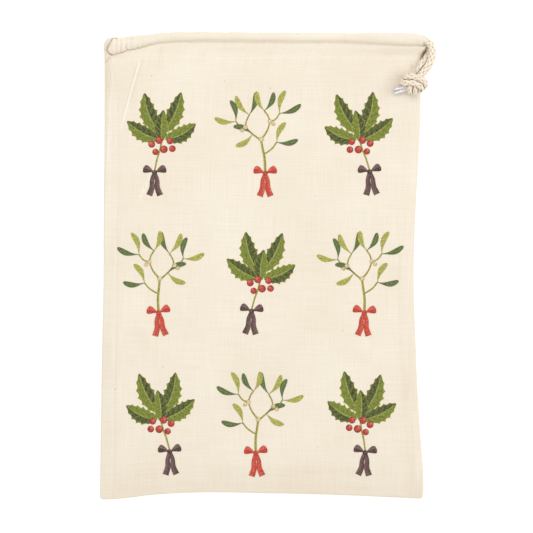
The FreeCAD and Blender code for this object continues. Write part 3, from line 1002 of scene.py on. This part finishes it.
# painted shadow under the roll, uneven along it and deepest at the gathered end
dimples = 0.09 + 0.08 * rumple(px, 0 * px, 1.9, 41)
painted_shade = painted_shade + under_roll * (dimples + 0.6 * ease((-60 - px) / 18) + 0.08 * ease((px - 70) / 20))
set_point_value(pouch, "PaintedShade", np.clip(painted_shade, 0, 1))
# Painted highlight: lighter lines along the creases' lit ridges and fold lines, and painted light along the
# left edge, which the side light leaves darker.
HIGHLIGHT_LINES = (
    ([(-75.6, 130), (-78.2, 121), (-81.3, 111), (-85.6, 96), (-89.4, 83)], 0.75, 0.5),
    ([(-79, 38), (-73, 50), (-68, 60)], 0.45, 0.5),
    ([(-96.2, 60), (-96.6, 88), (-96.4, 112)], 0.35, 0.5),
    ([(96.2, 92), (95.4, 62), (93.4, 20)], 0.3, 0.5),
)
# painted light: the left edge lighter, less so towards the foot
left_edge_highlight = (1 - ease((px - left_edge(py)) / 9)) * ease((127 - py) / 6)
left_edge_highlight = left_edge_highlight * mix(0.25, 1, ease((py + 10) / 70))
painted_highlight = crease_sum(px, py, HIGHLIGHT_LINES, 4, 4) * below_roll + 0.5 * left_edge_highlight * on_front
set_point_value(pouch, "PaintedHighlight", np.clip(painted_highlight, 0, 1))
set_weave_map(pouch, np.tile(map_u, (row_count, 1)), np.tile(map_v[:, None], (1, COLUMNS)))

# The faces have to look outwards, so that the thickness goes inwards.
centre_face = pouch.data.polygons[MIDDLE_ROW * (COLUMNS - 1) + MIDDLE_COLUMN]
if centre_face.normal.z < 0:
    pouch.data.flip_normals()
thicken(pouch, CLOTH)


def lighten_outside(obj, past_x, share):
    """Takes the slit's painted shade off the cloth's outer face, which the light reaches."""
    places = points_of(obj)
    facing = np.array([v.normal for v in obj.data.vertices])
    tint = np.empty(len(places), np.float32)
    hollow_data = obj.data.attributes["PaintedShade"].data
    hollow_data.foreach_get("value", tint)
    outer_face = (facing[:, 0] > 0.2) | (facing[:, 2] < -0.2)
    beside_slit = (places[:, 0] > past_x) & (places[:, 2] < 9)
    tint[outer_face & beside_slit] *= share
    hollow_data.foreach_set("value", tint)


lighten_outside(pouch, 95, 0.1)


def gather(obj, slot_name, *nodes):
    """Bakes the piece's placement into its mesh, and hides the CAD parts that it stands for."""
    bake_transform(obj)
    if nodes:
        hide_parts(*nodes)


gather(pouch, "cloth", "front_panel", "back_panel", "front_casing", "back_casing", "left_end_fold")

# ---- seams and stitches

FRONT = np.where(SIDE == 1)[0]
BACK = np.where(SIDE == -1)[0]


THREAD_HEIGHT = 0.7
STITCH_PITCH = 2.7
STITCH_LENGTH = 2.15
BAR_POINTS = 22


def tube_between(line, radius, around=8):
    """A short rounded thread along a line of points."""
    steps = np.linspace(0, 1, len(line))
    size = radius * np.sqrt(np.clip(1 - (2 * steps - 1) ** 8, 0.02, 1))[:, None]
    points, faces = capped_rings(rings_along(line, size, around), line[0], line[-1])
    return points, faces, np.full(len(points), THREAD_HEIGHT)


def stitch_run(line, out, pitch, length, radius, sink=0.12):
    """Running stitches along a line of points on the cloth, where out is the way that the cloth faces."""
    reach = reach_along(line)
    rise = np.sin(np.linspace(0, math.pi, 7)) * 0.16 - sink
    stitches = []
    for n in range(int(reach[-1] / pitch)):
        start = (n + 0.15) * pitch
        at = np.linspace(start, start + length, 7)
        raised = resample(at, reach, line) + resample(at, reach, out) * rise[:, None]
        stitches.append(tube_between(raised, radius))
    return stitches


outward = np.where(normal[MIDDLE_ROW, MIDDLE_COLUMN, 2] < 0, -1, 1) * normal
stitch_row = BODY_ROWS - 2
casing_stitches = []
for columns in (FRONT[CURL - 2 :], BACK[:-2]):
    line, out = POINTS[stitch_row, columns], outward[stitch_row, columns]
    casing_stitches += stitch_run(line, out, STITCH_PITCH, STITCH_LENGTH, 0.17)
casing_thread = cord_piece("casing_stitches", casing_stitches, THREAD)
gather(casing_thread, "thread", "front_casing_stitching", "back_casing_stitching")


def allowance(ring_at, places):
    """A folded seam allowance: a flat strip of two layers, from its outline at each place along the seam."""
    rings = np.array([ring_at(p) for p in places])
    points, faces = capped_rings(rings, rings[0].mean(0), rings[-1].mean(0))
    return points, faces, np.full(len(points), THREAD_HEIGHT)


# The folded strip's outline: across the seam, and up.
STRIP = [
    (0, 0.25), (0.25, 0), (3.2, 0), (6.3, 0), (6.55, 0.25), (6.55, 0.85), (6.3, 1.1), (3.2, 1.1),
    (0.25, 1.1), (0, 0.85),
]
STRIP_Z = 0.62


def side_inset(y):
    """How far in from the bag's edge a seam allowance lies, to stay inside the rounded side."""
    radius = edge_radius(y)
    return radius - np.sqrt(radius**2 - (radius + 0.1 - STRIP_Z) ** 2) + CLOTH + 0.3


def side_ring(edge, inward):
    def ring(y):
        return [(edge(y) + inward * (side_inset(y) + across), y, STRIP_Z + up) for across, up in STRIP]

    return ring


def foot_ring(x):
    return [(x, foot_line(x) + 1.15 + across, STRIP_Z + up) for across, up in STRIP]


strips = [
    allowance(side_ring(left_edge, 1), np.linspace(-136, 118, 90)),
    allowance(side_ring(right_edge, -1), np.linspace(-136, 118, 90)),
    allowance(foot_ring, np.linspace(-99, 99, 70)),
]
# the right strip mirrors the left one, so its faces turn the other way
right_points, right_faces, right_heights = strips[1]
strips[1] = (right_points, [face[::-1] for face in right_faces], right_heights)
seams = cord_piece("seam_allowances", strips, COTTON)
seam_x, seam_y, _ = points_of(seams).T
set_weave_map(seams, seam_x, seam_y)
gather(seams, "cloth", "left_side_seam", "right_side_seam", "bottom_seam")

SEAM_STEPS = 120
upward = np.tile([0.0, 0.0, 1.0], (SEAM_STEPS, 1))
seam_top = np.full(SEAM_STEPS, STRIP_Z + 1.16)
side_y = np.linspace(-134, 116, SEAM_STEPS)
foot_x = np.linspace(-90, 90, SEAM_STEPS)
seam_stitches = []
for x, y in (
    (left_edge(side_y) + (side_inset(side_y) + 2.45), side_y),
    (right_edge(side_y) - (side_inset(side_y) + 2.45), side_y),
    (foot_x, foot_line(foot_x) + 3.6),
):
    line = np.stack([x, y, seam_top], -1)
    seam_stitches += stitch_run(line, upward, STITCH_PITCH, STITCH_LENGTH, 0.16)
seam_thread = cord_piece("seam_stitches", seam_stitches, THREAD)
gather(seam_thread, "thread", "left_side_stitching", "right_side_stitching", "bottom_stitching")

# A close bar of stitches across the side seam, where the slit for the cord ends.
bar = []
slit_row = int(np.argmin(np.abs(POINTS[:BODY_ROWS, CURL + 3, 1] - (SLIT_Y - 2.4))))
wrap_front = np.arange(0, CURL + 2)
for k in range(10):
    place = slit_row - 1.6 + 0.36 * k
    low = int(place)
    line = mix(POINTS[low, wrap_front], POINTS[low + 1, wrap_front], place - low)
    out = mix(outward[low, wrap_front], outward[low + 1, wrap_front], place - low)
    fine = np.linspace(0, len(line) - 1, BAR_POINTS)
    raised = resample(fine, np.arange(len(line)), line + out * 0.06)
    bar.append(tube_between(raised, 0.19))
bartack = cord_piece("slit_bartack", bar, THREAD)
gather(bartack, "thread", "right_slit_bartack")

# ---- printed sprigs


def ink(red, green, blue):
    """An ink colour from 0 to 255, as the light value that the shader takes."""
    return np.array([((c / 255 + 0.055) / 1.055) ** 2.4 if c > 10 else c / 3294 for c in (red, green, blue)])


HOLLY_DARK, HOLLY_LIGHT, HOLLY_EDGE = ink(66, 80, 42), ink(122, 138, 50), ink(178, 180, 62)
HOLLY_RIB = ink(168, 172, 84)
BERRY, BERRY_SHINE, BERRY_SHADE = ink(204, 66, 56), ink(236, 140, 118), ink(146, 40, 38)
STEM, STEM_SHADE = ink(196, 190, 84), ink(152, 142, 62)
LEAF_PALE, LEAF_PALE_EDGE = ink(192, 192, 92), ink(160, 166, 74)
LEAF_DEEP, LEAF_DEEP_EDGE = ink(96, 118, 66), ink(128, 142, 80)
PEARL, PEARL_SHINE, PEARL_SHADE = ink(236, 214, 160), ink(250, 240, 214), ink(206, 180, 118)
PLUM, PLUM_LIGHT = ink(84, 62, 60), ink(134, 100, 100)
RED, RED_LIGHT = ink(206, 66, 52), ink(234, 100, 80)


def blade(base, tip, bend, width, spikes, tones, fullest=0.85):
    """A leaf as a grid of (x, y, colour) with a rib, two tones and a thin edge, spiked if spikes isn't 0."""
    base, tip = np.array(base, float), np.array(tip, float)
    way = tip - base
    length = np.linalg.norm(way)
    way = way / length
    side = np.array([-way[1], way[0]])
    count = spikes * 6 + 1 if spikes else 23
    dark, light, rim, rib = tones
    across = np.array([-1, -0.86, -0.6, -0.34, -0.1, -0.03, 0.03, 0.1, 0.34, 0.6, 0.86, 1])
    grid = []
    for t in np.linspace(0, 1, count):
        if spikes:
            spread = max(0.0, math.sin(math.pi * t**fullest)) ** 0.72
        else:
            tip_round = math.sqrt(1 - max(0.0, (t - fullest) / (1 - fullest)) ** 2)
            spread = mix(0.1, 1, float(ease(t / fullest))) * tip_round
        notch = 1 - 0.24 * abs(math.sin(math.pi * spikes * t)) if spikes else 1.0
        reach = 2.6 * (notch - 0.76) * spread if spikes else 0.0
        spine = base + way * length * t + side * bend * math.sin(math.pi * t)
        row = []
        for c in across:
            edge_notch = mix(1.0, notch, abs(c) ** 2)
            place = spine + side * (c * width * spread * edge_notch) + way * reach * abs(c) ** 3
            if abs(c) > 0.95:
                tone = rim
            elif abs(c) < 0.05:
                tone = rib
            else:
                tone = dark if c < 0 else light
                vein = 0.5 + 0.5 * math.cos(2 * math.pi * (t * 6 - abs(c) * 1.1))
                tone = mix(tone, rim, (0.3 * vein**3 + 0.25 * abs(c) ** 4) if spikes else 0.1)
            row.append((*place, *tone))
        grid.append(row)
    return np.array(grid), False


def disc(centre, radius, tones, rings=7, around=20):
    """A round berry, with a light off its middle and a darker rim."""
    body, shine, shade = tones
    grid = []
    for r in np.linspace(0, 1, rings):
        row = []
        for angle in full_turn(around):
            place = np.array(centre) + radius * r * np.array([math.cos(angle), math.sin(angle)])
            lit = bell(np.hypot(r * math.cos(angle) + 0.3, r * math.sin(angle) - 0.35), 0.34)
            tone = mix(mix(body, shade, max(0, r - 0.55) / 0.45 * 0.8), shine, lit)
            row.append((*place, *tone))
        grid.append(row)
    return np.array(grid), True


def ribbon(points, width, tones, ends=(1.0, 1.0)):
    """A band along a smooth line through the points, lighter on one side."""
    points = np.array(points, float)
    at = np.linspace(0, 1, len(points))
    steps = np.linspace(0, 1, 6 * len(points))
    curves = [through(*zip(at, points[:, k])) for k in (0, 1)]
    line = np.stack([curve(steps) for curve in curves], -1)
    way = np.gradient(line, axis=0)
    way /= np.linalg.norm(way, axis=1)[:, None] + 1e-9
    side = np.stack([-way[:, 1], way[:, 0]], -1)
    size = width / 2 * mix(ends[0], ends[1], steps)
    across = np.array([-1, -0.5, 0, 0.5, 1])
    grid = []
    for place, s, w in zip(line, side, size):
        grid.append([(*(place + s * c * w), *mix(tones[0], tones[1], (c + 1) / 2)) for c in across])
    return np.array(grid), False


def bow(x, y, tones):
    """A small tied ribbon: two full loops, two tails and the tie over them."""
    dark, light = tones
    shapes = []
    for way in (-1, 1):
        tail = [(x, y), (x + way * 1.5, y - 4.6), (x + way * 1.7, y - 9.4), (x + way * 3.4, y - 14.2)]
        shapes.append(ribbon(tail, 3.1, tones, (0.7, 1.25)))
        loop_tones = (dark, light, dark, dark) if way > 0 else (light, dark, dark, dark)
        shapes.append(blade((x, y), (x + way * 7.2, y + 2.6), 0.4 * way, 2.5, 0, loop_tones, 0.82))
    shapes.append(disc((x, y), 1.6, (dark, light, dark)))
    return shapes


def holly_sprig():
    leaf_tones = (HOLLY_DARK, HOLLY_LIGHT, HOLLY_EDGE, HOLLY_RIB)
    flipped = (HOLLY_LIGHT, HOLLY_DARK, HOLLY_EDGE, HOLLY_RIB)
    shapes = [
        ribbon([(0.5, 6), (-0.5, -2), (-2.6, -9), (-4.2, -16.5)], 1.2, (STEM_SHADE, STEM), (1.0, 0.8)),
        blade((-1.0, 7), (-10.5, 32.0), 2.2, 6.2, 6, leaf_tones),
        blade((1.0, 7), (12.5, 32.5), -1.8, 6.0, 6, flipped),
        blade((-1.5, 3), (-21.5, 14.5), 1.6, 5.8, 6, leaf_tones),
        blade((2.5, 3), (21.5, 13.0), -1.8, 5.8, 6, leaf_tones),
        blade((0.3, 2.0), (1.5, 21.5), 0.9, 5.0, 5, flipped),
    ]
    berries = (
        (-6.0, 0.2, 2.2), (5.4, 2.2, 2.1), (6.9, -2.6, 2.1), (-1.4, 2.6, 2.3), (1.6, -3.0, 2.4),
        (-3.6, -4.6, 2.0),
    )
    for x, y, r in berries:
        shapes.append(disc((x, y), r, (BERRY, BERRY_SHINE, BERRY_SHADE)))
    return shapes + bow(-4.2, -17.5, (PLUM, PLUM_LIGHT))


def mistletoe_sprig():
    pale = (LEAF_PALE, LEAF_PALE, LEAF_PALE_EDGE, LEAF_PALE_EDGE)
    deep = (LEAF_DEEP, LEAF_DEEP, LEAF_DEEP_EDGE, LEAF_DEEP_EDGE)
    stem = (STEM_SHADE, STEM)
    shapes = [
        ribbon([(3.4, -17.0), (3.0, -9.0), (1.6, -1.5), (0.6, 4.0)], 1.6, stem, (1.0, 0.8)),
        ribbon([(0.8, 2.5), (-4.5, 6.5), (-9.0, 10.5)], 1.15, stem, (1.0, 0.75)),
        ribbon([(0.8, 3.0), (4.5, 8.5), (6.4, 14.0)], 1.15, stem, (1.0, 0.75)),
        ribbon([(-9.0, 10.5), (-12.5, 11.5), (-15.0, 14.5)], 0.9, stem),
        ribbon([(-9.0, 10.5), (-8.4, 14.5), (-6.6, 18.5)], 0.9, stem),
        ribbon([(6.4, 14.0), (10.0, 16.0), (12.4, 19.5)], 0.9, stem),
        ribbon([(6.4, 14.0), (5.0, 18.0), (2.8, 21.0)], 0.9, stem),
        ribbon([(2.8, -6.0), (7.6, -2.5), (10.6, 1.5)], 0.9, stem),
    ]
    pairs = (
        (-15.0, 14.5, 172, 104, 13.5),
        (-6.6, 18.5, 126, 74, 14.5),
        (12.4, 19.5, 76, 22, 14.5),
        (2.8, 21.0, 112, 62, 13.0),
        (10.6, 1.5, 66, 6, 13.5),
        (-4.5, 6.5, 216, 158, 13.0),
    )
    for x, y, first, second, length in pairs:
        for angle, tones, bend in ((first, pale, 1.5), (second, deep, -1.5)):
            turn = math.radians(angle)
            tip = (x + length * math.cos(turn), y + length * math.sin(turn))
            shapes.append(blade((x, y), tip, bend, 1.75, 0, tones, 0.66))
    pearls = ((-9.0, 10.8, 1.4), (6.4, 14.3, 1.4), (0.9, 3.2, 1.5), (-11.0, 8.9, 1.2), (8.6, 12.8, 1.2))
    for x, y, r in pearls:
        shapes.append(disc((x, y), r, (PEARL, PEARL_SHINE, PEARL_SHADE)))
    return shapes + bow(3.4, -18.0, (RED, RED_LIGHT))


COLUMN_X = (-63.0, -1.5, 61.5)
ROW_Y = (76.5, -10.5, -98.5)
INK_LIFT = 0.07
INK_THICKNESS = 0.1
# each printed sprig's lean in degrees, and 1 or -1 where it is mirrored
LEANS = (0, 5, -3, 3, -4)
MIRRORS = (1, -1, 1, -1, -1)


def print_sprigs(name, shapes, spots):
    """One thin printed layer lying on the front cloth, with the shapes at each spot."""
    points, faces, tones, first = [], [], [], 0
    for number, (spot_x, spot_y) in enumerate(spots):
        lean = math.radians(LEANS[number])
        mirror = MIRRORS[number]
        for layer, (grid, closed) in enumerate(shapes):
            flat = grid.reshape(-1, 5)
            x = spot_x + mirror * flat[:, 0] * math.cos(lean) - flat[:, 1] * math.sin(lean)
            y = spot_y + mirror * flat[:, 0] * math.sin(lean) + flat[:, 1] * math.cos(lean)
            z = front_height(x, y) + INK_LIFT + 0.006 * layer
            points.append(np.stack([x, y, z], -1))
            tones.append(flat[:, 2:5])
            faces += grid_faces(grid.shape[0], grid.shape[1], closed, first)
            first += len(flat)
    points, tones = np.concatenate(points), np.concatenate(tones)
    obj = make_mesh(name, points, faces, INK)
    attribute = obj.data.attributes.new("Ink", "FLOAT_COLOR", "POINT")
    colour = np.concatenate([tones, np.ones((len(tones), 1))], 1)
    attribute.data.foreach_set("color", colour.astype(np.float32).ravel())
    set_weave_map(obj, points[:, 0], points[:, 1])
    flat_down = [p.index for p in obj.data.polygons if p.normal.z < 0]
    if flat_down:
        turn_over(obj, flat_down)
    thicken(obj, INK_THICKNESS)
    gather(obj, "cloth")
    return obj


def turn_over(obj, which):
    """Turns the listed faces over."""
    mesh = bmesh.new()
    mesh.from_mesh(obj.data)
    mesh.faces.ensure_lookup_table()
    bmesh.ops.reverse_faces(mesh, faces=[mesh.faces[i] for i in which])
    mesh.to_mesh(obj.data)
    mesh.free()


holly_spots, mistletoe_spots = [], []
for row, y in enumerate(ROW_Y):
    for column, x in enumerate(COLUMN_X):
        (holly_spots if (row + column) % 2 == 0 else mistletoe_spots).append((x, y))
holly_print = print_sprigs("holly_print", holly_sprig(), holly_spots)
mistletoe_print = print_sprigs("mistletoe_print", mistletoe_sprig(), mistletoe_spots)

# ---- floor, light, camera

bpy.ops.mesh.primitive_plane_add(size=6, location=(0, 0, -0.0002))
floor = bpy.context.object
floor.name = "floor"
floor.data.materials.append(floor_paper("floor_paper"))

world = bpy.context.scene.world or bpy.data.worlds.new("studio")
bpy.context.scene.world = world
world.use_nodes = True
world.node_tree.nodes["Background"].inputs["Color"].default_value = (1.0, 0.965, 0.92, 1)
world.node_tree.nodes["Background"].inputs["Strength"].default_value = 0.84


def add_light(name, kind, energy, colour, comes_from):
    light = link(bpy.data.objects.new(name, bpy.data.lights.new(name, kind)))
    light.data.energy = energy
    light.data.color = colour
    light.rotation_euler = Vector(comes_from).to_track_quat("Z", "Y").to_euler()
    return light


top_light = add_light("top_light", "AREA", 2.7, (0.94, 0.98, 1.0), (0.05, 0.42, 0.9))
top_light.data.shape = "DISK"
top_light.data.size = 0.6
top_light.location = (0.05, 0.42, 0.9)
top_light.visible_camera = False
side_light = add_light("side_light", "SUN", 0.46, (0.95, 0.985, 1.0), (0.85, 0.05, 1.0))
side_light.data.angle = math.radians(30)

scene = bpy.context.scene
scene.view_settings.view_transform = "Standard"
scene.view_settings.look = "None"

VIEW_CENTRE = (0.0027, 0.0003)
VIEW_WIDTH = 0.3331
CAMERA_HEIGHT = 1.6
POUCH_MIDDLE = 0.008
SENSOR_WIDTH = 36.0
camera = link(bpy.data.objects.new("camera", bpy.data.cameras.new("camera")))
camera.data.sensor_width = SENSOR_WIDTH
camera.data.lens = SENSOR_WIDTH * (CAMERA_HEIGHT - POUCH_MIDDLE) / VIEW_WIDTH
camera.location = (*VIEW_CENTRE, CAMERA_HEIGHT)
camera.data.clip_start, camera.data.clip_end = 0.05, 20
scene.camera = camera
